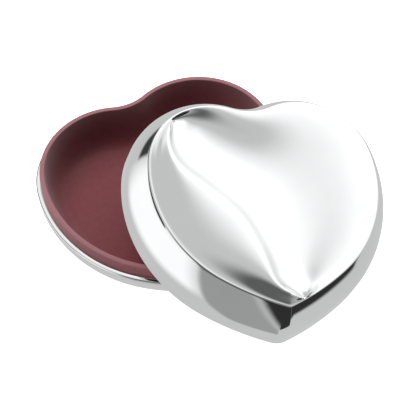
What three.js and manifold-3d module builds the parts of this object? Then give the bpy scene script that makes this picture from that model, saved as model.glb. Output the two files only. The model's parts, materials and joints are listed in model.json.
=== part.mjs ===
// Heart-shaped wind-up music box: a pressed metal base with a moulded liner, a loose lid that
// leans on it, and a spring-driven movement under a raised deck of the liner.
// Millimetres, +Z up. The origin lies in the resting face, midway between the heart's two lobes.
// The heart's notch points to +Y and its tip to -Y.

import * as THREE from 'three';
import { mergeVertices } from 'three/addons/utils/BufferGeometryUtils.js';
import Module from 'manifold-3d';

const wasm = await Module();
wasm.setup();

const degree = Math.PI / 180;

// ---------------------------------------------------------------- driving dimensions

// Outline of the liner's lip: arcs of one half, each tangent to the next.
const heart = {
  lobeX: 25.5,
  lobeRadius: 44.5,
  notchRadius: 28,
  shoulderRadius: 77,
  shoulderStart: 11.5 * degree,
  shoulderEnd: -54.4 * degree,
  sideRadius: 154,
  tipRadius: 8.4,
  leastTipRadius: 1.5,
  steps: { tip: 3, side: 3, shoulder: 6, lobe: 12, notch: 3 },
  middleY: -18,
};

const pad = { thickness: 0.9, margin: 3 };
const seat = 0.1;

const shell = {
  thickness: 1.0,
  rimZ: 18,
  rimRound: 0.8,
  rimOffset: 2.8,
  sideInset: 9.8,
  lipClearance: 0.4,
  ledge: 0.9,
};

const liner = {
  thickness: 1.2,
  lipZ: 26.8,
  lipWidth: 2.7,
  wallTop: 26,
  inset: 12.5,
  floorGap: 0.3,
  lipFoot: 1.0,
};

const lid = {
  thickness: 1.2,
  rimOffset: 3.85,
  bulgeZ: 8.3,
  edgeOffset: -4.8,
  edgeZ: 31.5,
  edgeRound: 0.7,
  ridge: 3,
  ridgeWidth: 9,
  rimFade: 5,
  dish: 3,
};

// Line of the lid's raised ridge, from the left lobe to the tip.
const ridgeLine = [
  [-35, 45],
  [-47, 31],
  [-52, 15],
  [-48, 0],
  [-34, -16],
  [-21, -32],
  [-13, -52],
  [-7, -69],
  [4, -77.5],
  [16, -79],
];

const lidLiner = {
  thickness: 1.2,
  skirtGap: 0.5,
  skirtThickness: 1.4,
  skirtFoot: 1.8,
  lipGap: 0.3,
  ceilingZ: 25.4,
  inset: 11,
};

// The lid off the box: where its middle stands, how it is turned, and the way it leans.
const leaning = { x: 35.6, y: -44.1, turn: -15.2 * degree, hingeLine: 30.7 * degree };
const restGap = 0.2;
const floorTouch = 0.05;

const movement = { x: -2, y: -34, z: 6.3, clearance: 1.2, height: 17.2 };
const bore = 0.12;

const well = { radius: 15.6, wall: 0.8, ceilingGap: 0.3, flange: 0.9, flangeThickness: 0.6 };
const key = { span: 10.5, thickness: 1.8, hubRadius: 3.2, top: 0.4, floorGap: 0.7, grip: 3.2 };

const barrel = { z: 3.3, height: 5, radius: 9.7, wall: 1.6, floor: 0.7, bush: 2.4 };
const crown = { teeth: 24, pitchInset: 0.7, tipGap: 0.1, toothWidth: 0.9 };

// What stands beside the barrel, along X, is placed from the barrel's edge.
const beside = (gap, width) => [barrel.radius + gap, barrel.radius + gap + width];

const bed = { thickness: 1.5, margin: [6.8, 26.3], y: [-20, 20], corner: 3, footRadius: 2 };
bed.x = [-barrel.radius - bed.margin[0], barrel.radius + bed.margin[1]];
const caseScrew = { shank: 0.9, head: 2, headHeight: 0.6, length: 4.2, insetX: [3.5, 3], y: [17, -17.5] };
caseScrew.places = [bed.x[0] + caseScrew.insetX[0], bed.x[1] - caseScrew.insetX[1]].flatMap((x) =>
  caseScrew.y.map((y) => [x, y]));
const smallHead = { radius: 1.5, height: 0.7 };

const arbor = { radius: 1.5, top: 11.5 };
const ratchet = { z: 1.9, thickness: 0.9, teeth: 18, tip: 6, root: 4.9, phase: 118 * degree };
const click = { x: 3.5, y: 7.6, boss: 1.6, screw: 0.7, nose: 5.2, lift: 12 * degree };
const clickSpring = { tip: 2.3, tipWidth: 0.35, y: [8.7, 9.1], footX: [-13, -11.2], footY: [8, 9.8] };

const spring = { turns: 4, strip: 0.4, inner: 3, outer: 7.3, gap: 0.3 };
const bridge = { z: 10.1, thickness: 1, postGap: 1.6, postWidth: 3.7, halfWidth: 3.2, reach: 3.4 };
bridge.postX = beside(bridge.postGap, bridge.postWidth).map((x) => -x).reverse();

// A cog's tip stands this share of its module outside its pitch circle.
const tipShare = 0.8;
const crownModule = (2 * (barrel.radius - crown.pitchInset)) / crown.teeth;
crown.height = 2 * (tipShare * crownModule + crown.tipGap);
const trainModule = 0.7;
const pinion = { teeth: 8, x: beside(-1.35, 1.3) };
const cylinder = { radius: 3.9, x: beside(3.5, 15), pin: 0.35, pinWidth: 0.3, arbor: 0.8 };
const cylinderWheel = { teeth: 12, x: beside(21.9, 1.2) };
const wheelPinion = { teeth: 6, x: beside(21.8, 1.4) };
const bracket = { gap: 1.3, span: 23, thickness: 1.2, y: [-8.6, 3.2], top: 14.6, foot: 3.4 };
[bracket.inner, bracket.outer] = beside(bracket.gap, bracket.span);

const comb = { teeth: 15, thickness: 0.9, toothEnd: 13.2, back: 19.4, tipGap: 0.3, slot: 0.3 };
const wormWheel = { teeth: 12, x: beside(19.5, 1.2), tip: 3.85, root: 3.2 };
const worm = { lead: 1.9, core: 0.8, threadAt: 1.15, thread: 0.4, turns: 3, shaft: 0.5 };
const fan = { radius: 4.2, z: [2.8, 6.2], thickness: 0.5, hub: 1.1 };
const cock = { z: 15.3, thickness: 1, postY: [-19.6, -16.4], halfWidth: 2 };
const stop = {
  y: [-12.3, -10.95],
  z: 1.75,
  thickness: 0.6,
  travel: 4,
  tabX: [3, 5],
  fingerTop: 5.4,
  fanGap: 0.3,
};

// ---------------------------------------------------------------- derived places

const shellFloor = pad.thickness + seat;
const linerFloor = shellFloor + shell.thickness + liner.floorGap;
const crownPitchZ = barrel.z + barrel.height + crown.height / 2;
const cylinderZ = crownPitchZ + (crownModule * pinion.teeth) / 2;
const wheelY = -(trainModule * (cylinderWheel.teeth + wheelPinion.teeth)) / 2;
const wormPitchRadius = (worm.lead * wormWheel.teeth) / (2 * Math.PI);
const governorX = (wormWheel.x[0] + wormWheel.x[1]) / 2;
const governorY = wheelY - wormPitchRadius - worm.threadAt - 0.15;
const wellCeiling = movement.z - well.ceilingGap;
const deckUnderside = movement.z + movement.height + movement.clearance / 2;
const deckTop = deckUnderside + liner.thickness;

// ---------------------------------------------------------------- materials

const finish = (colour, roughness, metalness) =>
  new THREE.MeshStandardMaterial({ color: colour, roughness, metalness });

const polished = finish(0xd4d6d8, 0.06, 1);
const burgundy = finish(0x6b3438, 0.8, 0);
const felt = finish(0x3a1a1e, 1, 0);
const brass = finish(0xb8934a, 0.3, 1);
const steel = finish(0xa9adb2, 0.3, 1);
const castMetal = finish(0xb4a678, 0.5, 1);
const darkSteel = finish(0x5a6068, 0.35, 1);

// ---------------------------------------------------------------- solids

const group = new THREE.Group();
const movementGroup = new THREE.Group();
movementGroup.position.set(movement.x, movement.y, movement.z);
const lidGroup = new THREE.Group();
group.add(movementGroup, lidGroup);

function add(parent, name, geometry, material) {
  const mesh = new THREE.Mesh(geometry, material);
  mesh.name = name;
  parent.add(mesh);
}

function solid(geometry) {
  const bare = geometry.clone();
  bare.deleteAttribute('normal');
  bare.deleteAttribute('uv');
  const merged = mergeVertices(bare, 1e-5);
  const vertProperties = new Float32Array(merged.attributes.position.array);
  const triVerts = new Uint32Array(merged.index.array);
  return new wasm.Manifold(new wasm.Mesh({ numProp: 3, vertProperties, triVerts }));
}

function surface(body) {
  const mesh = body.getMesh();
  const geometry = new THREE.BufferGeometry();
  geometry.setAttribute('position', new THREE.BufferAttribute(mesh.vertProperties, 3));
  geometry.setIndex(new THREE.BufferAttribute(mesh.triVerts, 1));
  return geometry;
}

function join(...geometries) {
  return surface(geometries.map(solid).reduce((sum, next) => sum.add(next)));
}

function cut(geometry, ...tools) {
  return surface(tools.map(solid).reduce((left, tool) => left.subtract(tool), solid(geometry)));
}

function block(x, y, z) {
  const geometry = new THREE.BoxGeometry(x[1] - x[0], y[1] - y[0], z[1] - z[0]);
  return geometry.translate((x[0] + x[1]) / 2, (y[0] + y[1]) / 2, (z[0] + z[1]) / 2);
}

function disc(radius, z, x = 0, y = 0, sides = 20) {
  const geometry = new THREE.CylinderGeometry(radius, radius, z[1] - z[0], sides);
  return geometry.rotateX(Math.PI / 2).translate(x, y, (z[0] + z[1]) / 2);
}

function rod(radius, x, y = 0, z = 0, sides = 16) {
  const geometry = new THREE.CylinderGeometry(radius, radius, x[1] - x[0], sides);
  return geometry.rotateZ(-Math.PI / 2).translate((x[0] + x[1]) / 2, y, z);
}

function turned(profile, sides = 32) {
  const points = profile.map(([r, z]) => new THREE.Vector2(r, z));
  return new THREE.LatheGeometry([...points, points[0]], sides).rotateX(Math.PI / 2);
}

function plate(shape, z) {
  const depth = z[1] - z[0];
  const geometry = new THREE.ExtrudeGeometry(shape, { depth, bevelEnabled: false, curveSegments: 4 });
  return geometry.translate(0, 0, z[0]);
}

// A plate whose flat faces look along X: its drawing's x becomes Y and its y becomes Z.
function wall(shape, x) {
  return plate(shape, [0, x[1] - x[0]]).rotateX(Math.PI / 2).rotateZ(Math.PI / 2).translate(x[0], 0, 0);
}

function roundedRectangle(x, y, r) {
  const shape = new THREE.Shape();
  shape.absarc(x[1] - r, y[0] + r, r, -Math.PI / 2, 0);
  shape.absarc(x[1] - r, y[1] - r, r, 0, Math.PI / 2);
  shape.absarc(x[0] + r, y[1] - r, r, Math.PI / 2, Math.PI);
  shape.absarc(x[0] + r, y[0] + r, r, Math.PI, 1.5 * Math.PI);
  return shape;
}

const polygon = (points) => new THREE.Shape(points.map(([x, y]) => new THREE.Vector2(x, y)));
const polar = (radius, angle) => [radius * Math.cos(angle), radius * Math.sin(angle)];

// ---------------------------------------------------------------- heart outlines and skins

function arcPoints(centre, radius, from, to, steps) {
  return new THREE.ArcCurve(centre[0], centre[1], radius, from, to, to < from).getPoints(steps);
}

// The outline at a distance outside the lip's outer edge, anticlockwise from the tip.
function heartOutline(offset) {
  const { lobeX, lobeRadius, notchRadius, shoulderRadius, shoulderStart, shoulderEnd } = heart;
  const { sideRadius, steps } = heart;
  const shoulder = [
    lobeX - (shoulderRadius - lobeRadius) * Math.cos(shoulderStart),
    -(shoulderRadius - lobeRadius) * Math.sin(shoulderStart),
  ];
  const side = [
    shoulder[0] - (sideRadius - shoulderRadius) * Math.cos(shoulderEnd),
    shoulder[1] - (sideRadius - shoulderRadius) * Math.sin(shoulderEnd),
  ];
  const tipRadius = Math.max(heart.tipRadius + offset, heart.leastTipRadius);
  const tipY = side[1] - Math.sqrt((sideRadius + offset - tipRadius) ** 2 - side[0] ** 2);
  const sideEnd = Math.atan2(tipY - side[1], -side[0]);
  const notchY = Math.sqrt((lobeRadius + notchRadius) ** 2 - lobeX ** 2);
  const notchAngle = Math.atan2(-notchY, lobeX);
  const half = [
    ...arcPoints([0, tipY], tipRadius, -Math.PI / 2, sideEnd, steps.tip),
    ...arcPoints(side, sideRadius + offset, sideEnd, shoulderEnd, steps.side).slice(1),
    ...arcPoints(shoulder, shoulderRadius + offset, shoulderEnd, shoulderStart, steps.shoulder).slice(1),
    ...arcPoints([lobeX, 0], lobeRadius + offset, shoulderStart, notchAngle + Math.PI, steps.lobe).slice(1),
    ...arcPoints([0, notchY], notchRadius - offset, notchAngle, -Math.PI / 2, steps.notch).slice(1),
  ];
  const mirrored = half.slice(1, -1).reverse().map((p) => new THREE.Vector2(-p.x, p.y));
  return [...half, ...mirrored];
}

const ring = ([offset, z]) => heartOutline(offset).map((p) => new THREE.Vector3(p.x, p.y, z));
const pole = (z) => [new THREE.Vector3(0, heart.middleY, z)];

// A closed surface through rings of points. A ring of one point closes the surface there.
function skin(rings, closed) {
  const positions = rings.flat().flatMap((p) => [p.x, p.y, p.z]);
  const starts = rings.map((_, i) => rings.slice(0, i).reduce((sum, r) => sum + r.length, 0));
  const index = [];
  const pairs = closed ? rings.length : rings.length - 1;
  for (let a = 0; a < pairs; a += 1) {
    const b = (a + 1) % rings.length;
    const count = Math.max(rings[a].length, rings[b].length);
    if (count === 1) continue;
    for (let i = 0; i < count; i += 1) {
      const j = (i + 1) % count;
      if (rings[a].length > 1) index.push(starts[a] + i, starts[a] + j, starts[b] + (j % rings[b].length));
      if (rings[b].length > 1) index.push(starts[a] + (i % rings[a].length), starts[b] + j, starts[b] + i);
    }
  }
  const geometry = new THREE.BufferGeometry();
  geometry.setAttribute('position', new THREE.Float32BufferAttribute(positions, 3));
  geometry.setIndex(index);
  return geometry;
}

// A bowl's wall: flat at its foot, upright at its top, as [offset, z] from the foot up.
function bowlWall(top, inset, z, steps, endZ = z[1]) {
  const end = Math.acos(1 - (endZ - z[0]) / (z[1] - z[0]));
  const points = [];
  for (let i = 0; i <= steps; i += 1) {
    const angle = (end * i) / steps;
    points.push([top - inset * (1 - Math.sin(angle)), z[0] + (z[1] - z[0]) * (1 - Math.cos(angle))]);
  }
  return points;
}

// ---------------------------------------------------------------- case

function baseShell() {
  const { thickness, rimZ, rimRound, rimOffset, sideInset, lipClearance, ledge } = shell;
  const outside = bowlWall(rimOffset, sideInset, [shellFloor, rimZ - rimRound], 5);
  const inside = bowlWall(
    rimOffset - thickness, sideInset, [shellFloor + thickness, rimZ - ledge], 5,
  ).reverse();
  const rim = [
    [rimOffset - rimRound / 2, rimZ],
    [lipClearance, rimZ],
    [lipClearance, rimZ - ledge],
  ];
  const rings = [...outside, ...rim, ...inside].map(ring);
  const bowl = skin([pole(shellFloor), ...rings, pole(shellFloor + thickness)], false);
  const through = [shellFloor - 1, shellFloor + thickness + 1];
  const keyHole = disc(well.radius + well.wall + seat, through, movement.x, movement.y, 40);
  const screwHoles = caseScrew.places.map(([x, y]) =>
    disc(caseScrew.shank + bore, through, movement.x + x, movement.y + y, 12));
  return cut(bowl, keyHole, ...screwHoles);
}

function baseLiner() {
  const { thickness, lipZ, lipWidth, wallTop, inset, lipFoot } = liner;
  const footZ = shell.rimZ - lipFoot;
  const outside = bowlWall(thickness - lipWidth, inset, [linerFloor, wallTop], 5, footZ);
  const lip = [[0, footZ], [0, lipZ], [-lipWidth, lipZ]];
  const inside = bowlWall(-lipWidth, inset, [linerFloor + thickness, wallTop], 6).reverse();
  const rings = [...outside, ...lip, ...inside].map(ring);
  const bowl = skin([pole(linerFloor), ...rings, pole(linerFloor + thickness)], false);
  const grow = (span, by) => [span[0] - by, span[1] + by];
  const across = bed.x.map((x) => x + movement.x);
  const along = bed.y.map((y) => y + movement.y);
  const deck = (by, z) => plate(
    roundedRectangle(grow(across, by), grow(along, by), bed.corner + by), z,
  );
  const raised = join(bowl, deck(movement.clearance + thickness, [linerFloor + 0.2, deckTop]));
  return cut(raised, deck(movement.clearance, [linerFloor - 1, deckUnderside]));
}

function undersidePad() {
  const outline = new THREE.Shape(heartOutline(shell.rimOffset - shell.sideInset - pad.margin));
  const sheet = plate(outline, [0, pad.thickness]);
  const through = [-1, pad.thickness + 1];
  const keyHole = disc(well.radius, through, movement.x, movement.y, 40);
  const screwHoles = caseScrew.places.map(([x, y]) =>
    disc(caseScrew.head + 0.4, through, movement.x + x, movement.y + y, 14));
  return cut(sheet, keyHole, ...screwHoles);
}

function keyWellCup() {
  const { radius, wall: side, flange, flangeThickness } = well;
  const flangeZ = shellFloor + shell.thickness + seat;
  const cup = turned([
    [0.001, wellCeiling - side],
    [radius, wellCeiling - side],
    [radius, shellFloor + 0.2],
    [radius + side, shellFloor + 0.2],
    [radius + side, flangeZ],
    [radius + side + flange, flangeZ],
    [radius + side + flange, flangeZ + flangeThickness],
    [radius + side, flangeZ + flangeThickness],
    [radius + side, wellCeiling],
    [0.001, wellCeiling],
  ], 40).translate(movement.x, movement.y, 0);
  const through = [wellCeiling - 2, wellCeiling + 1];
  const shaftHole = disc(arbor.radius + bore, through, movement.x, movement.y);
  const slot = block(
    [movement.x + stop.tabX[0] - 0.5, movement.x + stop.tabX[1] + stop.travel + 0.5],
    [movement.y + stop.y[0] - 0.3, movement.y + stop.y[1] + 0.3],
    through,
  );
  return cut(cup, shaftHole, slot);
}

function caseScrewBody([x, y]) {
  const underHead = shellFloor - seat - movement.z;
  const head = disc(caseScrew.head, [underHead - caseScrew.headHeight, underHead], x, y, 14);
  const shank = disc(caseScrew.shank, [underHead - 0.1, underHead + caseScrew.length], x, y, 12);
  return join(head, shank);
}

// ---------------------------------------------------------------- movement: frame and winding

function bedplate() {
  const base = plate(roundedRectangle(bed.x, bed.y, bed.corner), [0, bed.thickness]);
  const footZ = shellFloor + shell.thickness + seat - movement.z;
  const feet = caseScrew.places.map(([x, y]) => disc(bed.footRadius, [footZ, 0.5], x, y));
  const screwHoles = caseScrew.places.map(([x, y]) =>
    disc(caseScrew.shank + bore, [footZ - 1, 1], x, y, 12));
  const through = [-1, bed.thickness + 1];
  const holes = [
    disc(arbor.radius + bore, through),
    disc(worm.shaft + bore, through, governorX, governorY, 12),
    disc(click.screw + bore, through, click.x, click.y, 12),
    block(
      [stop.tabX[0] - 0.5, stop.tabX[1] + stop.travel + 0.5],
      [stop.y[0] - 0.3, stop.y[1] + 0.3],
      through,
    ),
  ];
  return cut(join(base, ...feet), ...screwHoles, ...holes);
}

function windingArbor() {
  return disc(arbor.radius, [windingArborFoot(), arbor.top]);
}

function windingKey() {
  const top = wellCeiling - well.wall - movement.z - key.top;
  const bottom = key.floorGap - movement.z;
  const hub = disc(key.hubRadius, [bottom, top], 0, 0, 24);
  const reach = [key.hubRadius - 0.6, key.span];
  const height = [bottom + 0.1, bottom + 0.1 + key.grip];
  const ear = roundedRectangle(reach, height, key.grip / 2 - 0.01);
  const ears = [0, Math.PI].map((turn) =>
    plate(ear, [-key.thickness / 2, key.thickness / 2]).rotateX(Math.PI / 2).rotateZ(turn));
  const socket = disc(arbor.radius + bore, [windingArborFoot() - 0.2, top + 1]);
  return cut(join(hub, ...ears), socket);
}

const windingArborFoot = () => shellFloor - movement.z + key.floorGap + 0.8;

function ratchetWheel() {
  const points = [];
  const pitch = (2 * Math.PI) / ratchet.teeth;
  for (let i = 0; i < ratchet.teeth; i += 1) {
    const angle = ratchet.phase + i * pitch;
    points.push(polar(ratchet.root, angle), polar(ratchet.tip, angle));
  }
  const wheel = plate(polygon(points), [ratchet.z, ratchet.z + ratchet.thickness]);
  return cut(wheel, disc(arbor.radius + bore, [0, 5]));
}

function clickPawl() {
  const z = [ratchet.z, ratchet.z + ratchet.thickness];
  const back = ratchet.phase - 1.7 * degree;
  const arm = polygon([
    polar(click.nose, back),
    polar(ratchet.tip + 0.45, ratchet.phase - 20 * degree),
    [click.x - 0.3, click.y - click.boss + 0.3],
    [click.x + 0.2, click.y + click.boss - 0.3],
    polar(click.nose + 1.7, back),
  ].reverse());
  const lever = join(plate(arm, z), disc(click.boss, z, click.x, click.y));
  return cut(lever, disc(click.screw + bore, [0, 5], click.x, click.y, 12));
}

function clickScrew() {
  const topZ = ratchet.z + ratchet.thickness;
  return disc(click.screw, [0.2, topZ + 0.2], click.x, click.y, 12);
}

// A leaf that presses on the back of the click, with a foot upright on the bedplate.
function clickSpringLeaf() {
  const z = [bed.thickness + 0.1, ratchet.z + ratchet.thickness];
  const { tip: reach, tipWidth, y, footX, footY } = clickSpring;
  const tip = polar(click.nose + reach, ratchet.phase);
  const root = footX[1] - 0.3;
  const leaf = polygon([tip, [tip[0] + 0.1, tip[1] + tipWidth], [root, y[1]], [root, y[0]]]);
  return join(plate(leaf, z), block(footX, footY, z));
}

function barrelBridge() {
  const { z, thickness, postX, halfWidth, reach } = bridge;
  const arm = block([postX[0], 0], [-halfWidth, halfWidth], [z, z + thickness]);
  const boss = disc(reach, [z, z + thickness]);
  const post = block(postX, [-halfWidth, halfWidth], [bed.thickness + seat, z + 0.5]);
  const middle = (postX[0] + postX[1]) / 2;
  const screwHole = disc(caseScrew.shank + bore, [z - 4, z + 3], middle, 0, 12);
  return cut(join(arm, boss, post), disc(arbor.radius + bore, [z - 1, z + 3]), screwHole);
}

function smallScrew(x, y, underHead, length) {
  const head = disc(smallHead.radius, [underHead, underHead + smallHead.height], x, y, 14);
  return join(head, disc(caseScrew.shank, [underHead - length, underHead + 0.1], x, y, 12));
}

// ---------------------------------------------------------------- movement: spring and gears

// Teeth as straight-sided cogs, with the first one centred on the angle "phase".
function cogOutline(teeth, root, tip, rootWidth, tipWidth, phase) {
  const points = [];
  for (let i = 0; i < teeth; i += 1) {
    const middle = phase + (2 * Math.PI * i) / teeth;
    const rootHalf = rootWidth / 2 / root;
    const tipHalf = tipWidth / 2 / tip;
    points.push(polar(root, middle - rootHalf), polar(tip, middle - tipHalf));
    points.push(polar(tip, middle + tipHalf), polar(root, middle + rootHalf));
  }
  return polygon(points);
}

// A cog wheel whose axis runs along X.
function cogWheel({ teeth, x }, moduleSize, phase, boreRadius, y) {
  const pitchRadius = (moduleSize * teeth) / 2;
  const root = pitchRadius - 1.15 * moduleSize;
  const tip = pitchRadius + tipShare * moduleSize;
  const outline = cogOutline(teeth, root, tip, 1.5 * moduleSize, 0.7 * moduleSize, phase);
  const wheel = wall(outline, x);
  const hole = rod(boreRadius, [x[0] - 1, x[1] + 1]);
  return cut(wheel, hole).translate(0, y, cylinderZ);
}

function springBarrel() {
  const { z, height, radius, wall: side, floor, bush } = barrel;
  const cup = turned([
    [bush, z], [radius, z], [radius, z + height], [radius - side, z + height],
    [radius - side, z + floor], [bush, z + floor],
  ], 48);
  const pitch = (2 * Math.PI) / crown.teeth;
  const teeth = [];
  for (let i = 0; i < crown.teeth; i += 1) {
    const tooth = block(
      [radius - side + 0.1, radius - 0.05],
      [-crown.toothWidth / 2, crown.toothWidth / 2],
      [z + height - 0.3, z + height + crown.height],
    );
    teeth.push(tooth.rotateZ((i + 0.5) * pitch));
  }
  return join(cup, ...teeth);
}

function barrelCover() {
  const top = barrel.z + barrel.height - 0.1;
  const edge = barrel.radius - barrel.wall - bore;
  return turned([[barrel.bush, top - 0.6], [edge, top - 0.6], [edge, top], [barrel.bush, top]], 40);
}

function mainspring() {
  const steps = spring.turns * 14;
  const inside = [];
  const outside = [];
  for (let i = 0; i <= steps; i += 1) {
    const radius = spring.inner + ((spring.outer - spring.inner) * i) / steps;
    const angle = (2 * Math.PI * spring.turns * i) / steps;
    inside.push(polar(radius, angle));
    outside.push(polar(radius + spring.strip, angle));
  }
  const z = [barrel.z + barrel.floor + spring.gap, barrel.z + barrel.height - 0.7 - spring.gap];
  return plate(polygon([...outside, ...inside.reverse()]), z);
}

function musicCylinder() {
  const { radius, x, pin, pinWidth } = cylinder;
  const drum = rod(radius, x, 0, 0, 36);
  const pins = [];
  for (let note = 0; note < comb.teeth; note += 1) {
    for (let beat = 0; beat < 4; beat += 1) {
      const angle = ((note * 7 + beat * 9) % 36) * 10 * degree + 5 * degree;
      const at = combToothX(note);
      const peg = block(
        [at - pinWidth / 2, at + pinWidth / 2],
        [radius - 0.3, radius + pin],
        [-pinWidth / 2, pinWidth / 2],
      );
      pins.push(peg.rotateX(angle));
    }
  }
  const body = join(drum, ...pins);
  return cut(body, rod(cylinder.arbor + bore, [x[0] - 1, x[1] + 1])).translate(0, 0, cylinderZ);
}

const combPitch = () => (cylinder.x[1] - cylinder.x[0] - 0.6) / comb.teeth;
const combToothX = (note) => cylinder.x[0] + 0.3 + (note + 0.5) * combPitch();

function cylinderArbor() {
  const ends = [pinion.x[0] - 0.2, bracket.outer + bracket.thickness - 0.1];
  return rod(cylinder.arbor, ends, 0, cylinderZ);
}

function wheelArbor() {
  const ends = [bracket.inner + 0.1, bracket.outer + bracket.thickness - 0.1];
  return rod(cylinder.arbor, ends, wheelY, cylinderZ);
}

function bearingBracket(x, footSide) {
  const { thickness, y, top, foot } = bracket;
  const under = bed.thickness + seat;
  const side = block([x, x + thickness], y, [under, top]);
  const footX = footSide > 0 ? [x + 0.2, x + thickness + foot] : [x - foot, x + thickness - 0.2];
  const flange = block(footX, y, [under, under + 1]);
  const bores = [0, wheelY].map((at) =>
    rod(cylinder.arbor + bore, [x - 1, x + thickness + 1], at, cylinderZ));
  const screw = bracketScrewPlace(x, footSide);
  const screwHole = disc(caseScrew.shank + bore, [under - 1, under + 2], screw[0], screw[1], 12);
  return cut(join(side, flange), ...bores, screwHole);
}

const bracketScrewPlace = (x, footSide) => [
  footSide > 0 ? x + bracket.thickness + bracket.foot / 2 : x - bracket.foot / 2,
  (bracket.y[0] + bracket.y[1]) / 2,
];

function combPlate() {
  const tipY = cylinder.radius + cylinder.pin + comb.tipGap;
  const z = [cylinderZ - comb.thickness / 2, cylinderZ + comb.thickness / 2];
  const x = [cylinder.x[0] + 0.3, cylinder.x[1] - 0.3];
  const body = block(x, [tipY, comb.back], z);
  const slots = [];
  for (let note = 1; note < comb.teeth; note += 1) {
    const at = x[0] + note * combPitch();
    slots.push(block(
      [at - comb.slot / 2, at + comb.slot / 2],
      [tipY - 1, comb.toothEnd - (note * 4) / comb.teeth],
      [z[0] - 1, z[1] + 1],
    ));
  }
  const holes = combScrewPlaces().map(([a, b]) =>
    disc(caseScrew.shank + bore, [z[0] - 1, z[1] + 1], a, b, 12));
  return cut(body, ...slots, ...holes);
}

const combScrewPlaces = () => [1, 3].map((quarter) => [
  cylinder.x[0] + ((cylinder.x[1] - cylinder.x[0]) * quarter) / 4,
  (comb.toothEnd + comb.back) / 2,
]);

function combBar() {
  const x = [cylinder.x[0] - 1, cylinder.x[1] + 1];
  const top = cylinderZ - comb.thickness / 2 - seat;
  const bar = block(x, [comb.toothEnd + 0.5, comb.back], [bed.thickness + seat, top]);
  const holes = combScrewPlaces().map(([a, b]) =>
    disc(caseScrew.shank + bore, [top - 3.5, top + 1], a, b, 12));
  return cut(bar, ...holes);
}

// ---------------------------------------------------------------- movement: governor and stop

function wormWheelBody() {
  const { teeth, x, tip, root } = wormWheel;
  const gapTowardsWorm = Math.PI + Math.PI / teeth;
  const outline = cogOutline(teeth, root, tip, 0.75, 0.5, gapTowardsWorm);
  const hole = rod(cylinder.arbor + bore, [x[0] - 1, x[1] + 1]);
  return cut(wall(outline, x), hole).translate(0, wheelY, cylinderZ);
}

function governorWorm() {
  const half = (worm.turns * worm.lead) / 2;
  const points = [];
  const steps = worm.turns * 12;
  for (let i = 0; i <= steps; i += 1) {
    const turn = (i / steps - 0.5) * worm.turns;
    const [x, y] = polar(worm.threadAt, Math.PI / 2 + 2 * Math.PI * turn);
    points.push(new THREE.Vector3(x, y, turn * worm.lead));
  }
  const section = new THREE.Shape().absarc(0, 0, worm.thread, 0, 2 * Math.PI);
  const extrudePath = new THREE.CatmullRomCurve3(points);
  const options = { steps, extrudePath, curveSegments: 3, bevelEnabled: false };
  const thread = new THREE.ExtrudeGeometry(section, options);
  const core = disc(worm.core, [-half - 0.4, half + 0.4]);
  const shaft = disc(worm.shaft, [0.3 - cylinderZ, cock.z + cock.thickness - 0.2 - cylinderZ], 0, 0, 12);
  return join(core, thread, shaft).translate(governorX, governorY, cylinderZ);
}

function governorFan() {
  const { radius, z, thickness, hub } = fan;
  const middle = (z[0] + z[1]) / 2;
  const wings = block([-thickness / 2, thickness / 2], [-radius, radius], z);
  const body = join(disc(hub, [middle - 1.2, middle + 1.2]), wings);
  const hole = disc(worm.shaft + bore, [z[0] - 1, z[1] + 1], 0, 0, 12);
  return cut(body, hole).translate(governorX, governorY, 0);
}

function governorCock() {
  const { z, thickness, postY, halfWidth } = cock;
  const x = [governorX - halfWidth, governorX + halfWidth];
  const arm = block(x, [postY[0], governorY + 1.4], [z, z + thickness]);
  const post = block(x, postY, [bed.thickness + seat, z + 0.5]);
  const pivot = disc(worm.shaft + bore, [z - 1, z + 2], governorX, governorY, 12);
  const screwHole = disc(caseScrew.shank + bore, [z - 4, z + 2], governorX, cockScrewY(), 12);
  return cut(join(arm, post), pivot, screwHole);
}

const cockScrewY = () => (cock.postY[0] + cock.postY[1]) / 2;

// A strip that carries a thumb tab into the key well and a finger towards the fan.
function stopSlide() {
  const { y, z, thickness, tabX, fingerTop } = stop;
  const fingerX = governorX - fan.radius - stop.fanGap - stop.travel;
  const strip = block([tabX[0], fingerX], y, [z, z + thickness]);
  const tab = block(tabX, y, [key.floorGap + 0.6 - movement.z, z + 0.1]);
  const finger = block([fingerX - 1, fingerX], y, [z + 0.1, fingerTop]);
  return join(strip, tab, finger);
}

// ---------------------------------------------------------------- lid

const ridgeCurve = new THREE.SplineCurve(ridgeLine.map(([x, y]) => new THREE.Vector2(x, y)));
const ridgePoints = ridgeCurve.getPoints(48);
const lidEdge = heartOutline(lid.edgeOffset);

// A smooth distance from a line: the integral of 1/d^3 along a straight line d away is 2/d^2.
function softDistance(p, line) {
  let sum = 0;
  for (let i = 1; i < line.length; i += 1) {
    const a = line[i - 1].clone().sub(p);
    const b = line[i].clone().sub(p);
    const along = b.clone().sub(a).normalize();
    const across = Math.max(a.cross(along) ** 2, 0.01);
    const end = b.dot(along) / Math.sqrt(b.dot(along) ** 2 + across);
    const start = a.dot(along) / Math.sqrt(a.dot(along) ** 2 + across);
    sum += (end - start) / across;
  }
  return Math.sqrt(2 / sum);
}

// True on the dish's side of the ridge.
function besideDish(p) {
  const distances = ridgePoints.map((q) => p.distanceTo(q));
  const i = distances.indexOf(Math.min(...distances));
  const a = ridgePoints[Math.max(i - 1, 0)];
  const b = ridgePoints[Math.min(i + 1, ridgePoints.length - 1)];
  return b.clone().sub(a).cross(p.clone().sub(a)) > 0;
}

// Height of the lid's top over its edge: a ridge, a shoulder that falls away from it, and a dish.
function relief(p) {
  const toEdge = softDistance(p, [...lidEdge, lidEdge[0]]);
  const toRidge = softDistance(p, ridgePoints);
  const share = toEdge / (toEdge + toRidge);
  const rise = lid.ridge * (1 - Math.exp(-toEdge / lid.rimFade)) * share * (2 - share);
  if (!besideDish(p)) return rise;
  const crest = rise * Math.exp(-((toRidge / lid.ridgeWidth) ** 2));
  return crest - lid.dish * Math.sin(Math.PI * share) ** 2;
}

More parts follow.
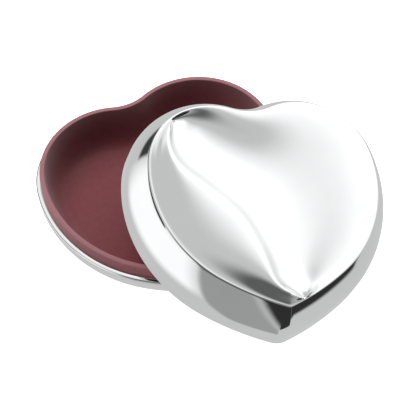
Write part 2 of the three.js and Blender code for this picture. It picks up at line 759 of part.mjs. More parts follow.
function lidTop(z, scales) {
  const middle = new THREE.Vector2(0, heart.middleY);
  return scales.map((scale) => lidEdge.map((edge) => {
    const p = middle.clone().lerp(edge, scale);
    return new THREE.Vector3(p.x, p.y, z + relief(p));
  }));
}

function lidWall(inward, topZ) {
  const { rimOffset, bulgeZ, edgeOffset } = lid;
  const points = [[rimOffset - inward, 0]];
  for (let i = 0; i <= 4; i += 1) {
    const s = i / 4;
    points.push([rimOffset + (edgeOffset - rimOffset) * s * s - inward, bulgeZ + (topZ - bulgeZ) * s]);
  }
  return points;
}

function lidShell() {
  const { thickness, edgeRound, edgeZ } = lid;
  const scales = [0.985, 0.93, 0.84, 0.72, 0.55, 0.35, 0.15];
  const outside = lidWall(0, edgeZ - edgeRound).map(ring);
  const outerTop = lidTop(edgeZ, scales);
  const innerTop = lidTop(edgeZ - thickness, scales.slice(1)).reverse();
  const inside = lidWall(thickness, edgeZ - thickness - edgeRound).map(ring).reverse();
  const middle = new THREE.Vector2(0, heart.middleY);
  const peak = relief(middle);
  return skin([
    ...outside, ...outerTop, pole(edgeZ + peak), pole(edgeZ - thickness + peak), ...innerTop, ...inside,
  ], true);
}

// The lid's lining: a skirt that slips round the base's lip, and a shallow bowl above it.
function lidLinerBody() {
  const { thickness, skirtGap, skirtThickness, skirtFoot, lipGap, ceilingZ, inset } = lidLiner;
  const lipReach = liner.lipZ - shell.rimZ + lipGap;
  const ledgeTop = lipReach + thickness;
  const outer = skirtGap + skirtThickness;
  const turnOver = ([offset, z]) => [offset, ceilingZ + ledgeTop - z];
  const outside = bowlWall(thickness - liner.lipWidth, inset, [ledgeTop, ceilingZ], 4).map(turnOver);
  const inside = bowlWall(-liner.lipWidth, inset, [ledgeTop, ceilingZ], 4).map(turnOver);
  const lowered = inside.map(([offset, z]) => [offset, z - thickness]);
  return skin([
    ...[[outer, skirtFoot], [outer, ledgeTop]].map(ring),
    ...outside.reverse().map(ring),
    pole(ceilingZ),
    pole(ceilingZ - thickness),
    ...lowered.map(ring),
    ...[[skirtGap, lipReach], [skirtGap, skirtFoot]].map(ring),
  ], true);
}

// ---------------------------------------------------------------- the lid's leaning place

const cross2 = (ax, ay, bx, by) => ax * by - ay * bx;

// Where two closed outlines cross, seen from above, as points of the first one.
function crossings(a, b) {
  const found = [];
  for (let i = 0; i < a.length; i += 1) {
    const p = a[i];
    const d = a[(i + 1) % a.length].clone().sub(p);
    for (let j = 0; j < b.length; j += 1) {
      const q = b[j];
      const e = b[(j + 1) % b.length].clone().sub(q);
      const span = cross2(d.x, d.y, e.x, e.y);
      const t = cross2(q.x - p.x, q.y - p.y, e.x, e.y) / span;
      const u = cross2(q.x - p.x, q.y - p.y, d.x, d.y) / span;
      if (t >= 0 && t <= 1 && u >= 0 && u <= 1) found.push(p.clone().addScaledVector(d, t));
    }
  }
  return found;
}

// The lid's rim stands on the floor at its lowest point, for a given tilt.
function leaningMatrix(tilt) {
  const hinge = new THREE.Vector3(Math.cos(leaning.hingeLine), Math.sin(leaning.hingeLine), 0);
  const tip = new THREE.Matrix4().makeRotationAxis(hinge, tilt);
  const matrix = tip.multiply(new THREE.Matrix4().makeRotationZ(leaning.turn));
  const rim = ring([lid.rimOffset, 0]).map((p) => p.applyMatrix4(matrix));
  const lowest = Math.min(...rim.map((p) => p.z));
  return matrix.setPosition(leaning.x, leaning.y, floorTouch - lowest);
}

// How far the lid's rim clears the base where it passes over it.
function clearance(tilt) {
  const matrix = leaningMatrix(tilt);
  const lowEdges = [
    [lid.rimOffset, 0],
    [lid.rimOffset - lid.thickness, 0],
    [lidLiner.skirtGap, lidLiner.skirtFoot],
  ];
  const rims = lowEdges.map((edge) => ring(edge).map((p) => p.applyMatrix4(matrix)));
  const edges = [[0, liner.lipZ], [-liner.lipWidth, liner.lipZ], [shell.rimOffset, shell.rimZ]];
  const gaps = rims.flatMap((rim) => edges.flatMap((edge) =>
    crossings(rim, ring(edge)).map((p) => p.z - edge[1])));
  return Math.min(...gaps);
}

function restingTilt() {
  let low = 0;
  let high = 45 * degree;
  for (let i = 0; i < 30; i += 1) {
    const middle = (low + high) / 2;
    if (clearance(middle) < restGap) low = middle;
    else high = middle;
  }
  return high;
}

// ---------------------------------------------------------------- assembly

add(group, 'base_shell', baseShell(), polished);
add(group, 'base_liner', baseLiner(), burgundy);
add(group, 'underside_pad', undersidePad(), felt);
add(group, 'key_well_cup', keyWellCup(), polished);

caseScrew.places.forEach((place, i) => {
  add(movementGroup, `case_screw_${i + 1}`, caseScrewBody(place), steel);
});
add(movementGroup, 'bedplate', bedplate(), castMetal);
add(movementGroup, 'winding_key', windingKey(), brass);
add(movementGroup, 'winding_arbor', windingArbor(), steel);
add(movementGroup, 'ratchet_wheel', ratchetWheel(), steel);
add(movementGroup, 'click', clickPawl(), steel);
add(movementGroup, 'click_screw', clickScrew(), steel);
add(movementGroup, 'click_spring', clickSpringLeaf(), darkSteel);
add(movementGroup, 'spring_barrel', springBarrel(), brass);
add(movementGroup, 'barrel_cover', barrelCover(), brass);
add(movementGroup, 'mainspring', mainspring(), darkSteel);
add(movementGroup, 'barrel_bridge', barrelBridge(), castMetal);
add(movementGroup, 'bridge_screw',
  smallScrew((bridge.postX[0] + bridge.postX[1]) / 2, 0, bridge.z + bridge.thickness + seat, 3.5), steel);

const towardsBarrel = -Math.PI / 2;
const towardsWheelArbor = Math.PI;
const besideCylinderWheel = Math.PI / wheelPinion.teeth;
add(movementGroup, 'cylinder_pinion',
  cogWheel(pinion, crownModule, towardsBarrel, cylinder.arbor + bore, 0), steel);
add(movementGroup, 'cylinder_arbor', cylinderArbor(), steel);
add(movementGroup, 'music_cylinder', musicCylinder(), brass);
add(movementGroup, 'cylinder_wheel',
  cogWheel(cylinderWheel, trainModule, towardsWheelArbor, cylinder.arbor + bore, 0), brass);
add(movementGroup, 'wheel_arbor', wheelArbor(), steel);
add(movementGroup, 'wheel_pinion',
  cogWheel(wheelPinion, trainModule, besideCylinderWheel, cylinder.arbor + bore, wheelY), steel);
add(movementGroup, 'worm_wheel', wormWheelBody(), brass);
[['inner', 1], ['outer', -1]].forEach(([name, footSide]) => {
  const x = bracket[name];
  const [screwX, screwY] = bracketScrewPlace(x, footSide);
  add(movementGroup, `${name}_bracket`, bearingBracket(x, footSide), castMetal);
  const underHead = bed.thickness + 1 + 2 * seat;
  add(movementGroup, `${name}_bracket_screw`, smallScrew(screwX, screwY, underHead, 1), steel);
});

add(movementGroup, 'comb', combPlate(), steel);
add(movementGroup, 'comb_bar', combBar(), castMetal);
combScrewPlaces().forEach(([x, y], i) => {
  const underHead = cylinderZ + comb.thickness / 2 + seat;
  add(movementGroup, `comb_screw_${i + 1}`, smallScrew(x, y, underHead, 3.5), steel);
});

add(movementGroup, 'governor_worm', governorWorm(), steel);
add(movementGroup, 'governor_fan', governorFan(), brass);
add(movementGroup, 'governor_cock', governorCock(), castMetal);
add(movementGroup, 'governor_screw',
  smallScrew(governorX, cockScrewY(), cock.z + cock.thickness + seat, 3.5), steel);
add(movementGroup, 'stop_slide', stopSlide(), steel);

add(lidGroup, 'lid_shell', lidShell(), polished);
add(lidGroup, 'lid_liner', lidLinerBody(), burgundy);
lidGroup.applyMatrix4(leaningMatrix(restingTilt()));

export default group;
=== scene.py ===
"""Looks of the heart-shaped wind-up music box: mirror-polished case, burgundy liner, brass movement."""

import json
import math

import bpy
import numpy as np
from mathutils import Matrix, Vector

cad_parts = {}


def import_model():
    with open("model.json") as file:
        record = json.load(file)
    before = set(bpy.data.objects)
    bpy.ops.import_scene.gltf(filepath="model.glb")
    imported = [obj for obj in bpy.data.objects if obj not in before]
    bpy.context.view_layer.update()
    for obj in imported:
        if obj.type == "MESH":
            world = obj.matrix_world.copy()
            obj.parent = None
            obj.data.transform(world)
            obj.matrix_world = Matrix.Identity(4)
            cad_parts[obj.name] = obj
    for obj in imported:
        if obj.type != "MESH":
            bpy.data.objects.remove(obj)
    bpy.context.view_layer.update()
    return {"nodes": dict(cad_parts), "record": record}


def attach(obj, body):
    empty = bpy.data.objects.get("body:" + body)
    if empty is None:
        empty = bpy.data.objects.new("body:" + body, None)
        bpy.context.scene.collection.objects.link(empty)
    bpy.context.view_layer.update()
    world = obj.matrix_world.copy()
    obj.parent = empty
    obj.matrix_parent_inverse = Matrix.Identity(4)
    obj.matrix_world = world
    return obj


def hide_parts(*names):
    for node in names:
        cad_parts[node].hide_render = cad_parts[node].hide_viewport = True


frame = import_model()

MM = 0.001

# ------------------------------------------------------------------ dimensions, in mm, as in the CAD

LOBE_X = 25.5
LOBE_R = 44.5
NOTCH_R = 28.0
SHOULDER_R = 77.0
SHOULDER_START = math.radians(11.5)
SHOULDER_END = math.radians(-54.4)
SIDE_R = 154.0
TIP_R = 8.4
LEAST_TIP_R = 1.5
MIDDLE_Y = -18.0
ARC_STEPS = {"tip": 14, "side": 30, "shoulder": 50, "lobe": 66, "notch": 24}

SHELL_Z = (1.0, 18.0)
SHELL_ROUND = 0.8
SHELL_LEDGE = 0.9
SHELL_LIP_GAP = 0.4
SHELL_RIM = 2.68
SHELL_INSET = 9.8
SHELL_THICKNESS = 1.0
LIP_Z = 26.8
LIP_WIDTH = 2.7
LINER_Z = 2.3
LINER_THICKNESS = 1.2
LINER_INSET = 12.5
BOWL_TOP = 26.0
WELL_R = 16.5
MOVEMENT = (-2.0, -34.0)
DECK_X = (-18.9, 38.4)
DECK_Y = (-22.4, 22.4)
DECK_TOP = 25.3
DECK_CORNER = 5.4

LID_RIM = 3.72
LID_BULGE_Z = 8.3
LID_EDGE = -4.8
LID_EDGE_Z = 31.5
LID_THICKNESS = 1.2
LID_FILLET = 1.2
LID_EDGE_ROUND = 0.7
LID_RIM_ROUND = 0.3
FILLET_START = 37.6
RIDGE = 3.0
RIDGE_WIDTH = 9.0
RIM_FADE = 5.0
DISH = 3.0
RIDGE_LINE = (
    (-35, 45), (-47, 31), (-52, 15), (-48, 0), (-34, -16),
    (-21, -32), (-13, -52), (-7, -69), (4, -77.5), (16, -79),
)

SKIRT_GAP = 0.5
SKIRT_THICKNESS = 1.4
SKIRT_FOOT = 1.8
LID_CEILING = 25.4
LID_LINER_INSET = 11.0

# ------------------------------------------------------------------ outlines and skins


def arc(centre, radius, start, end, steps):
    t = np.linspace(start, end, steps + 1)
    return np.stack([centre[0] + radius * np.cos(t), centre[1] + radius * np.sin(t)], 1)


def heart(offset):
    """The outline at a distance outside the lip's outer edge, anticlockwise from the tip."""
    grow = SHOULDER_R - LOBE_R
    shoulder = (LOBE_X - grow * math.cos(SHOULDER_START), -grow * math.sin(SHOULDER_START))
    grow = SIDE_R - SHOULDER_R
    side = (shoulder[0] - grow * math.cos(SHOULDER_END), shoulder[1] - grow * math.sin(SHOULDER_END))
    tip_r = max(TIP_R + offset, LEAST_TIP_R)
    tip_y = side[1] - math.sqrt((SIDE_R + offset - tip_r) ** 2 - side[0] ** 2)
    side_end = math.atan2(tip_y - side[1], -side[0])
    notch_y = math.sqrt((LOBE_R + NOTCH_R) ** 2 - LOBE_X**2)
    notch = math.atan2(-notch_y, LOBE_X)
    half = np.concatenate([
        arc((0, tip_y), tip_r, -math.pi / 2, side_end, ARC_STEPS["tip"]),
        arc(side, SIDE_R + offset, side_end, SHOULDER_END, ARC_STEPS["side"])[1:],
        arc(shoulder, SHOULDER_R + offset, SHOULDER_END, SHOULDER_START, ARC_STEPS["shoulder"])[1:],
        arc((LOBE_X, 0), LOBE_R + offset, SHOULDER_START, notch + math.pi, ARC_STEPS["lobe"])[1:],
        arc((0, notch_y), NOTCH_R - offset, notch, -math.pi / 2, ARC_STEPS["notch"])[1:],
    ])
    mirrored = half[1:-1][::-1] * (-1, 1)
    return np.concatenate([half, mirrored])


def ring(offset, z):
    line = heart(offset)
    return np.column_stack([line, np.full(len(line), z)])


def pole(z):
    return np.array([[0, MIDDLE_Y, z]])


def circle(radius, z, centre):
    """A circle with as many points as an outline, each one in the direction of the outline's point."""
    line = heart(0) - centre
    return np.column_stack([
        centre + radius * line / np.linalg.norm(line, axis=1, keepdims=True), np.full(len(line), z),
    ])


def skin_faces(rings, closed):
    starts = np.cumsum([0] + [len(r) for r in rings])
    faces = []
    for a in range(len(rings) if closed else len(rings) - 1):
        b = (a + 1) % len(rings)
        n, m = len(rings[a]), len(rings[b])
        for i in range(max(n, m)):
            j = (i + 1) % max(n, m)
            corners = [starts[a] + i % n, starts[a] + j % n, starts[b] + j % m, starts[b] + i % m]
            faces.append(list(dict.fromkeys(int(c) for c in corners)))
    return [f for f in faces if len(f) > 2]


def piece(name, points, faces, material, body, slot, replaced=None, sharp=35):
    mesh = bpy.data.meshes.new(name)
    mesh.from_pydata((np.asarray(points) * MM).tolist(), [], faces)
    mesh.validate()
    mesh.shade_smooth()
    mesh.set_sharp_from_angle(angle=math.radians(sharp))
    obj = bpy.data.objects.new(name, mesh)
    bpy.context.scene.collection.objects.link(obj)
    mesh.materials.append(material)
    if body:
        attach(obj, body)
    if replaced:
        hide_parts(replaced)
    return obj


def skin(name, rings, closed, material, body, slot, replaced=None, place=None):
    points = np.concatenate(rings)
    if place is not None:
        points = points @ place[:3, :3].T + place[:3, 3]
    return piece(name, points, skin_faces(rings, closed), material, body, slot, replaced)


def bowl_wall(top, inset, z0, z1, steps, end_z=None):
    end = math.acos(1 - ((end_z or z1) - z0) / (z1 - z0))
    t = np.linspace(0, end, steps + 1)
    return list(zip(top - inset * (1 - np.sin(t)), z0 + (z1 - z0) * (1 - np.cos(t))))


def fillet(centre, radius, start, end, steps=6):
    t = np.radians(np.linspace(start, end, steps + 1))
    return list(zip(centre[0] + radius * np.cos(t), centre[1] + radius * np.sin(t)))


# ------------------------------------------------------------------ the lid's top


def soft_distance(points, line):
    """A smooth distance from a line: the integral of 1/d^3 along a straight line d away is 2/d^2."""
    total = np.zeros(len(points))
    for start, end in zip(line[:-1], line[1:]):
        along = (end - start) / np.linalg.norm(end - start)
        a = start - points
        b = end - points
        across = np.maximum((a[:, 0] * along[1] - a[:, 1] * along[0]) ** 2, 0.01)
        far = b @ along
        near = a @ along
        total += (far / np.sqrt(far**2 + across) - near / np.sqrt(near**2 + across)) / across
    return np.sqrt(2 / total)


def ridge_points(count):
    """A smooth line through the ridge's points."""
    p = np.array(RIDGE_LINE, float)
    t = np.linspace(0, len(p) - 1, count)
    i = np.clip(t.astype(int), 0, len(p) - 2)
    f = (t - i)[:, None]
    before = p[np.clip(i - 1, 0, None)]
    after = p[np.clip(i + 2, None, len(p) - 1)]
    a, b = p[i], p[i + 1]
    ta, tb = (b - before) / 2, (after - a) / 2
    return (2 * a - 2 * b + ta + tb) * f**3 + (-3 * a + 3 * b - 2 * ta - tb) * f**2 + ta * f + a


def beside_dish(points, line):
    nearest = np.array([np.argmin(((line - p) ** 2).sum(1)) for p in points])
    a = line[np.maximum(nearest - 1, 0)]
    b = line[np.minimum(nearest + 1, len(line) - 1)]
    d, v = b - a, points - a
    return d[:, 0] * v[:, 1] - d[:, 1] * v[:, 0] > 0


def relief(points, edge):
    """Height of the lid's top over its edge: a ridge, a shoulder that falls away from it, and a dish."""
    line = ridge_points(160)
    to_edge = soft_distance(points, np.concatenate([edge, edge[:1]]))
    to_ridge = soft_distance(points, line)
    share = to_edge / (to_edge + to_ridge)
    rise = RIDGE * (1 - np.exp(-to_edge / RIM_FADE)) * share * (2 - share)
    dish = rise * np.exp(-((to_ridge / RIDGE_WIDTH) ** 2)) - DISH * np.sin(np.pi * share) ** 2
    return np.where(beside_dish(points, line), dish, rise)


def wall_offset(z):
    """The lid's wall: upright below its bulge, and curved in as a parabola above it."""
    share = max(0.0, (z - LID_BULGE_Z) / (LID_EDGE_Z - LID_EDGE_ROUND - LID_BULGE_Z))
    return LID_RIM + (LID_EDGE - LID_RIM) * share * share


def lid_rings():
    """Up the lid's wall, over its edge, in to the middle of its top, and back along the inside."""
    start = math.radians(FILLET_START)
    rim = fillet((LID_RIM - LID_RIM_ROUND, LID_RIM_ROUND), LID_RIM_ROUND, -90, 0, 4)
    rings = [ring(o, z) for o, z in rim]
    wall_top = LID_EDGE_Z - LID_FILLET * (1 - math.sin(start))
    rings += [ring(wall_offset(z), z) for z in np.linspace(LID_RIM_ROUND, wall_top, 44)[1:]]
    flat = wall_offset(wall_top) - LID_FILLET * math.cos(start)
    edge_round = fillet((flat, LID_EDGE_Z - LID_FILLET), LID_FILLET, FILLET_START, 90, 8)[1:]
    rings += [ring(o, z) for o, z in edge_round]
    edge = heart(flat)
    scales = 1 - np.linspace(0, 1, 90)[1:-1] ** 1.25
    middle = np.array([0, MIDDLE_Y])
    points = np.concatenate([middle + (edge - middle) * s for s in scales] + [middle[None]])
    heights = LID_EDGE_Z + relief(points, edge)
    grid = np.column_stack([points, heights])
    outer = [grid[i * len(edge):(i + 1) * len(edge)] for i in range(len(scales))]
    rings += outer + [grid[-1:]]
    low = [r - (0, 0, LID_THICKNESS) for r in outer[4::12]]
    rings += [grid[-1:] - (0, 0, LID_THICKNESS)] + low[::-1]
    for z in np.linspace(LID_EDGE_Z - LID_THICKNESS - LID_EDGE_ROUND, LID_RIM_ROUND, 12):
        rings.append(ring(wall_offset(z) - LID_THICKNESS, z))
    rings.append(ring(LID_RIM - LID_THICKNESS, 0.05))
    return rings


# ------------------------------------------------------------------ materials


def material(name, colour, metallic=0.0, roughness=0.5):
    mat = bpy.data.materials.new(name)
    mat.use_nodes = True
    nodes, links = mat.node_tree.nodes, mat.node_tree.links
    shader = nodes["Principled BSDF"]
    shader.inputs["Base Color"].default_value = (*colour, 1)
    shader.inputs["Metallic"].default_value = metallic
    shader.inputs["Roughness"].default_value = roughness
    return mat, nodes, links, shader


def noise(nodes, links, scale, detail=4.0, stretch=(1, 1, 1)):
    coords = nodes.new("ShaderNodeTexCoord")
    mapping = nodes.new("ShaderNodeMapping")
    mapping.inputs["Scale"].default_value = stretch
    texture = nodes.new("ShaderNodeTexNoise")
    texture.inputs["Scale"].default_value = scale
    texture.inputs["Detail"].default_value = detail
    links.new(coords.outputs["Object"], mapping.inputs["Vector"])
    links.new(mapping.outputs["Vector"], texture.inputs["Vector"])
    return texture.outputs["Fac"]


def spread(nodes, links, value, low, high):
    scale = nodes.new("ShaderNodeMapRange")
    scale.inputs["From Min"].default_value = 0.3
    scale.inputs["From Max"].default_value = 0.7
    scale.inputs["To Min"].default_value = low
    scale.inputs["To Max"].default_value = high
    links.new(value, scale.inputs["Value"])
    return scale.outputs["Result"]


def tint(nodes, links, value, dark, light, socket):
    ramp = nodes.new("ShaderNodeValToRGB")
    ramp.color_ramp.elements[0].position = 0.3
    ramp.color_ramp.elements[0].color = (*dark, 1)
    ramp.color_ramp.elements[1].position = 0.7
    ramp.color_ramp.elements[1].color = (*light, 1)
    links.new(value, ramp.inputs["Fac"])
    links.new(ramp.outputs["Color"], socket)


def bump(nodes, links, value, distance, strength, shader):
    node = nodes.new("ShaderNodeBump")
    node.inputs["Distance"].default_value = distance
    node.inputs["Strength"].default_value = strength
    links.new(value, node.inputs["Height"])
    links.new(node.outputs["Normal"], shader.inputs["Normal"])


def polished_metal(name, colour, low, high, scratch=0.02):
    mat, nodes, links, shader = material(name, colour, 1.0, low)
    smear = noise(nodes, links, 60, 3)
    links.new(spread(nodes, links, smear, low, high), shader.inputs["Roughness"])
    bright = tuple(min(1, c * 1.04) for c in colour)
    tint(nodes, links, noise(nodes, links, 25, 2), colour, bright, shader.inputs["Base Color"])
    fine = noise(nodes, links, 900, 2, (1, 12, 1))
    bump(nodes, links, fine, 0.00002, scratch, shader)
    return mat


def brushed_metal(name, colour, roughness, stretch):
    mat, nodes, links, shader = material(name, colour, 1.0, roughness)
    grain = noise(nodes, links, 700, 5, stretch)
    links.new(spread(nodes, links, grain, roughness * 0.8, roughness * 1.3), shader.inputs["Roughness"])
    dark = tuple(c * 0.85 for c in colour)
    tint(nodes, links, noise(nodes, links, 220, 4), dark, colour, shader.inputs["Base Color"])
    bump(nodes, links, grain, 0.00005, 0.12, shader)
    return mat


def painted_lip_light(nodes, links, colour, shader):
    """Painted light: the lip's flat face, everything above the lip's round edge, is coloured lighter than
    the bowl, standing in for the fuller light it catches while the bowl's floor lies in the walls' shade.
    """
    coords = nodes.new("ShaderNodeTexCoord")
    split = nodes.new("ShaderNodeSeparateXYZ")
    links.new(coords.outputs["Object"], split.inputs["Vector"])
    height = nodes.new("ShaderNodeMapRange")
    height.inputs["From Min"].default_value = (LIP_Z - 0.7) * MM
    height.inputs["From Max"].default_value = (LIP_Z - 0.05) * MM
    links.new(split.outputs["Z"], height.inputs["Value"])
    mix = nodes.new("ShaderNodeMix")
    mix.data_type = "RGBA"
    links.new(height.outputs["Result"], mix.inputs["Factor"])
    links.new(shader.inputs["Base Color"].links[0].from_socket, mix.inputs["A"])
    mix.inputs["B"].default_value = (*colour, 1)
    links.new(mix.outputs["Result"], shader.inputs["Base Color"])


def flocked(name, dark, light, rim=None):
    mat, nodes, links, shader = material(name, dark, 0.0, 0.5)
    tint(nodes, links, noise(nodes, links, 300, 6), dark, light, shader.inputs["Base Color"])
    # The rim colour is painted light: a lighter lip face standing in for the light the open lip catches.
    if rim:
        painted_lip_light(nodes, links, rim, shader)
    bump(nodes, links, noise(nodes, links, 2600, 3), 0.00012, 0.35, shader)
    shader.inputs["Sheen Weight"].default_value = 0.18
    shader.inputs["Sheen Roughness"].default_value = 0.5
    shader.inputs["Sheen Tint"].default_value = (1.0, 0.75, 0.78, 1)
    shader.inputs["Specular IOR Level"].default_value = 0.28
    return mat


CHROME = polished_metal("mirror_nickel", (0.83, 0.835, 0.84), 0.03, 0.06)
FLOCK = flocked("burgundy_flock", (0.15, 0.031, 0.038), (0.17, 0.038, 0.046))
# The bowl's last colour is painted light on the lip's flat face, lighter where the open lip catches more
# light.
BOWL = flocked("burgundy_bowl", (0.17, 0.038, 0.044), (0.19, 0.045, 0.052), (0.32, 0.14, 0.155))
FELT = flocked("dark_felt", (0.02, 0.009, 0.01), (0.035, 0.014, 0.016))
BRASS = brushed_metal("brass_turned", (0.76, 0.55, 0.24), 0.24, (1, 1, 6))
CAST = brushed_metal("brass_cast", (0.62, 0.5, 0.28), 0.42, (1, 1, 1))
STEEL = brushed_metal("steel_ground", (0.6, 0.61, 0.63), 0.26, (6, 1, 1))
BLUED = brushed_metal("steel_blued", (0.14, 0.18, 0.3), 0.3, (1, 1, 6))

NODE_LOOKS = {
    "polished": CHROME,
    "burgundy_liner": FLOCK,
    "felt": FELT,
    "brass": BRASS,
    "cast_brass": CAST,
    "spring_steel": BLUED,
    "steel": STEEL,
}


def dress_cad_nodes():
    for part in frame["record"]["subparts"]:
        obj = frame["nodes"][part["node"]]
        obj.data.materials.clear()
        obj.data.materials.append(NODE_LOOKS[part["material_slot"]])
    frame["nodes"]["underside_pad"].visible_glossy = False


# ------------------------------------------------------------------ pieces


def base_shell():
    """The pressed shell: round the key well, up the outside, over the rolled rim and back inside."""
    rim = SHELL_RIM
    bottom, top = SHELL_Z
    rings = [circle(WELL_R, bottom, np.array(MOVEMENT))]
    rings += [ring(o, z) for o, z in bowl_wall(rim, SHELL_INSET, bottom, top - SHELL_ROUND, 30)]
    edge = fillet((rim - SHELL_ROUND, top - SHELL_ROUND), SHELL_ROUND, 0, 90, 8)[1:]
    edge += [(SHELL_LIP_GAP + 0.2, top), (SHELL_LIP_GAP, top - 0.2), (SHELL_LIP_GAP, top - SHELL_LEDGE)]
    rings += [ring(o, z) for o, z in edge]
    floor_top = bottom + SHELL_THICKNESS
    inner = bowl_wall(rim - SHELL_THICKNESS, SHELL_INSET, floor_top, top - SHELL_LEDGE, 14)
    rings += [ring(o, z) for o, z in inner[::-1]]
    rings += [circle(WELL_R, floor_top, np.array(MOVEMENT))]
    shell = skin("case_shell", rings, True, CHROME, "case", "polished", "base_shell")
    shell.visible_glossy = False


def rounded_box(x, y, z, corner, round_top):
    """A box with round corners and, if asked, a rounded top edge, as points and faces."""
    levels = [(0, z[0])]
    levels += [(round_top - round_top * math.cos(t), z[1] - round_top + round_top * math.sin(t))
               for t in np.linspace(0, math.pi / 2, 7)] if round_top else [(0, z[1])]
    rings = []
    for inset, height in levels:
        r = corner - inset
        line = np.concatenate([
            arc((x[1] - corner, y[0] + corner), r, -math.pi / 2, 0, 8),
            arc((x[1] - corner, y[1] - corner), r, 0, math.pi / 2, 8),
            arc((x[0] + corner, y[1] - corner), r, math.pi / 2, math.pi, 8),
            arc((x[0] + corner, y[0] + corner), r, math.pi, 1.5 * math.pi, 8),
        ])
        rings.append(np.column_stack([line, np.full(len(line), height)]))
    points = np.concatenate(rings)
    n = len(rings[0])
    faces = skin_faces(rings, False)
    faces.append(list(range(n))[::-1])
    faces.append(list(range(len(points) - n, len(points))))
    return points, faces


def boolean(obj, tool, operation):
    change = obj.modifiers.new("change", "BOOLEAN")
    change.operation = operation
    change.solver = "EXACT"
    change.object = tool
    graph = bpy.context.evaluated_depsgraph_get()
    mesh = bpy.data.meshes.new_from_object(obj.evaluated_get(graph))
    obj.modifiers.clear()
    obj.data = mesh
    bpy.data.objects.remove(tool)


def base_liner():
    foot = SHELL_Z[1] - 1
    outer = bowl_wall(LINER_THICKNESS - LIP_WIDTH, LINER_INSET, LINER_Z, BOWL_TOP, 14, foot)
    inner = bowl_wall(-LIP_WIDTH, LINER_INSET, LINER_Z + LINER_THICKNESS, BOWL_TOP, 40)
    edge = 0.45
    rings = [pole(LINER_Z)] + [ring(o, z) for o, z in outer]
    rings += [ring(0, foot)]
    rings += [ring(o, z) for o, z in fillet((-edge, LIP_Z - edge), edge, 0, 90)]
    rings += [ring(o, z) for o, z in fillet((-LIP_WIDTH + edge, LIP_Z - edge), edge, 90, 180)]
    rings += [ring(o, z) for o, z in inner[::-1]]
    rings += [pole(LINER_Z + LINER_THICKNESS)]
    liner = skin("bowl_liner", rings, False, BOWL, "case", "burgundy_liner", "base_liner")
    x = [v + MOVEMENT[0] for v in DECK_X]
    y = [v + MOVEMENT[1] for v in DECK_Y]
    deck = rounded_box(x, y, (LINER_Z + 0.2, DECK_TOP), DECK_CORNER, 1.6)
    boolean(liner, piece("deck_block", *deck, BOWL, None, None), "UNION")
    t = LINER_THICKNESS
    hollow = rounded_box(
        [x[0] + t, x[1] - t], [y[0] + t, y[1] - t], (0, DECK_TOP - t), DECK_CORNER - t, 0,
    )
    boolean(liner, piece("deck_hollow", *hollow, BOWL, None, None), "DIFFERENCE")
    liner.data.shade_smooth()
    liner.data.set_sharp_from_angle(angle=math.radians(35))
    liner.visible_glossy = False


def lid_liner_rings():
    reach = LIP_Z - SHELL_Z[1] + 0.3
    ledge = reach + LINER_THICKNESS
    outer = SKIRT_GAP + SKIRT_THICKNESS
    top = LINER_THICKNESS - LIP_WIDTH
    high = [(o, LID_CEILING + ledge - z) for o, z in bowl_wall(top, LID_LINER_INSET, ledge, LID_CEILING, 10)]
    low = [
        (o, LID_CEILING + ledge - z - LINER_THICKNESS)
        for o, z in bowl_wall(-LIP_WIDTH, LID_LINER_INSET, ledge, LID_CEILING, 30)
    ]
    rings = [ring(outer, SKIRT_FOOT), ring(outer, ledge)]
    rings += [ring(o, z) for o, z in high[::-1]]
    rings += [pole(LID_CEILING), pole(LID_CEILING - LINER_THICKNESS)]
    rings += [ring(o, z) for o, z in low]
    rings += [ring(SKIRT_GAP, reach), ring(SKIRT_GAP, SKIRT_FOOT)]
    return rings


# ------------------------------------------------------------------ the lid's leaning place

LEAN_AT = (35.6, -44.1)
LEAN_TURN = math.radians(-15.2)
HINGE_LINE = math.radians(30.7)
LEAN_TILT = math.radians(16.274)
FLOOR_TOUCH = 0.05


def lid_place():
    """The lid turned, tilted and stood with its rim's lowest point on the floor."""
    hinge = Vector((math.cos(HINGE_LINE), math.sin(HINGE_LINE), 0))
    turn = Matrix.Rotation(LEAN_TILT, 3, hinge) @ Matrix.Rotation(LEAN_TURN, 3, "Z")
    place = np.eye(4)
    place[:3, :3] = np.array(turn)
    lowest = (ring(LID_RIM, 0) @ place[:3, :3].T)[:, 2].min()
    place[:3, 3] = (*LEAN_AT, FLOOR_TOUCH - lowest)
    return place


def lid():
    place = lid_place()
    skin("lid_cover", lid_rings(), True, CHROME, "lid", "polished", "lid_shell", place)
    skin("lid_lining", lid_liner_rings(), True, FLOCK, "lid", "burgundy_liner", "lid_liner", place)


# ------------------------------------------------------------------ studio


CAMERA_AT = (-235.0, -544.0, 836.5)
CAMERA_TARGET = (9.0, -48.8, 26.8)
LENS = 150.1
KEY_LIGHT_AT = (-150, 550, 800)
KEY_LIGHT_SIZE = 0.6
KEY_LIGHT_POWER = 7.0
FLOOR_RADIUS = 6000.0
FLOOR_Z = -0.05
FLOOR_GLOW = 1.0


def aim(obj, place, target):
    obj.location = Vector(place) * MM
    obj.rotation_mode = "QUATERNION"
    obj.rotation_quaternion = (Vector(target) - Vector(place)).to_track_quat("-Z", "Y")


def camera():
    data = bpy.data.cameras.new("camera")
    data.sensor_width = 36
    data.lens = LENS
    data.clip_start = 0.01
    data.clip_end = 20
    obj = bpy.data.objects.new("camera", data)
    bpy.context.scene.collection.objects.link(obj)
    aim(obj, CAMERA_AT, CAMERA_TARGET)
    bpy.context.scene.camera = obj


def key_light():
    """A soft box high behind the case, kept out of the mirror reflections."""
    data = bpy.data.lights.new("key_light", "AREA")
    data.shape = "SQUARE"
    data.size = KEY_LIGHT_SIZE
    data.energy = KEY_LIGHT_POWER
    obj = bpy.data.objects.new("key_light", data)
    obj.visible_glossy = False
    bpy.context.scene.collection.objects.link(obj)
    aim(obj, KEY_LIGHT_AT, (-20, -10, 0))


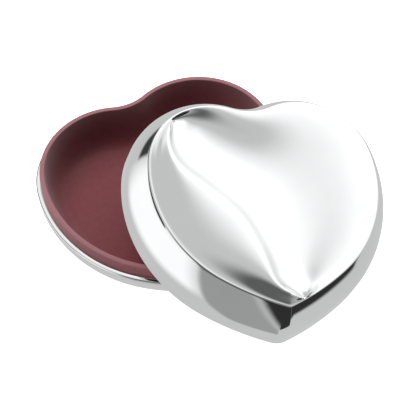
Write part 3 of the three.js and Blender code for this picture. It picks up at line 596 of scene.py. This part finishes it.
def floor():
    mat, nodes, links, shader = material("paper_white", (0.9, 0.9, 0.9), 0.0, 0.9)
    tint(nodes, links, noise(nodes, links, 6, 3), (0.9, 0.9, 0.9), (0.92, 0.92, 0.92),
         shader.inputs["Base Color"])
    shader.inputs["Specular IOR Level"].default_value = 0.0
    shader.inputs["Emission Color"].default_value = (1, 1, 1, 1)
    shader.inputs["Emission Strength"].default_value = FLOOR_GLOW
    line = arc((0, 0), FLOOR_RADIUS, 0, 2 * math.pi, 96)[:-1]
    points = np.column_stack([line, np.full(len(line), FLOOR_Z)])
    obj = piece("floor", points, [list(range(len(line)))], mat, None, None)
    obj.visible_glossy = False


def math_node(nodes, links, operation, a, b=None, c=None, clamp=False):
    node = nodes.new("ShaderNodeMath")
    node.operation = operation
    node.use_clamp = clamp
    for socket, value in zip(node.inputs, (a, b, c)):
        if isinstance(value, (int, float)):
            socket.default_value = value
        elif value is not None:
            links.new(value, socket)
    return node.outputs[0]


def step(nodes, links, value, start, end):
    node = nodes.new("ShaderNodeMapRange")
    node.interpolation_type = "SMOOTHSTEP"
    node.inputs["From Min"].default_value = start
    node.inputs["From Max"].default_value = end
    links.new(value, node.inputs["Value"])
    return node.outputs["Result"]


def window(nodes, links, azimuth, elevation, left, right, low, high, soft):
    """1 inside a rectangle of directions, in degrees, and 0 outside it."""
    sides = [
        step(nodes, links, azimuth, left - soft, left + soft),
        step(nodes, links, azimuth, right + soft, right - soft),
        step(nodes, links, elevation, low - soft, low + soft),
        step(nodes, links, elevation, high + soft, high - soft),
    ]
    value = sides[0]
    for side in sides[1:]:
        value = math_node(nodes, links, "MULTIPLY", value, side)
    return value


# Studio around the box, as (brightness, left, right, low, high, softness): azimuths in degrees are
# counted from -Y towards +X, elevations from the horizon. Later entries cover earlier ones.
ROOM = 0.62
CARDS = (
    (0.12, -75, 52, 38, 95, 24),
    (1.0, 84, 180, 2, 66, 8),
    (1.35, 94, 158, 14, 62, 9),
    (1.15, -144, -66, -30, 22, 11),
    (0.36, -62, -34, -58, 13, 3),
    (0.03, -62, -20, 13, 40, 4),
    (0.03, -32, 12, -42, 30, 2),
    (0.03, 12, 60, -30, 30, 3),
    (0.03, -178, -96, 17, 45, 1.5),
    (0.05, -179, -150, -5, 10, 3),
)


def world():
    made = bpy.data.worlds.new("studio")
    bpy.context.scene.world = made
    made.use_nodes = True
    nodes, links = made.node_tree.nodes, made.node_tree.links
    coords = nodes.new("ShaderNodeTexCoord")
    split = nodes.new("ShaderNodeSeparateXYZ")
    links.new(coords.outputs["Generated"], split.inputs["Vector"])
    x, y, z = split.outputs
    turn = math_node(nodes, links, "ARCTAN2", x, math_node(nodes, links, "MULTIPLY", y, -1.0))
    azimuth = math_node(nodes, links, "DEGREES", turn)
    elevation = math_node(nodes, links, "DEGREES", math_node(nodes, links, "ARCSINE", z))
    value = ROOM
    for brightness, left, right, low, high, soft in CARDS:
        inside = window(nodes, links, azimuth, elevation, left, right, low, high, soft)
        mix = nodes.new("ShaderNodeMix")
        mix.data_type = "FLOAT"
        links.new(inside, mix.inputs["Factor"])
        if isinstance(value, float):
            mix.inputs["A"].default_value = value
        else:
            links.new(value, mix.inputs["A"])
        mix.inputs["B"].default_value = brightness
        value = mix.outputs[0]
    nodes["Background"].inputs["Color"].default_value = (1, 1, 1, 1)
    links.new(value, nodes["Background"].inputs["Strength"])


def main():
    scene = bpy.context.scene
    scene.view_settings.view_transform = "Standard"
    camera()
    world()
    floor()
    key_light()
    dress_cad_nodes()
    base_shell()
    base_liner()
    lid()


main()
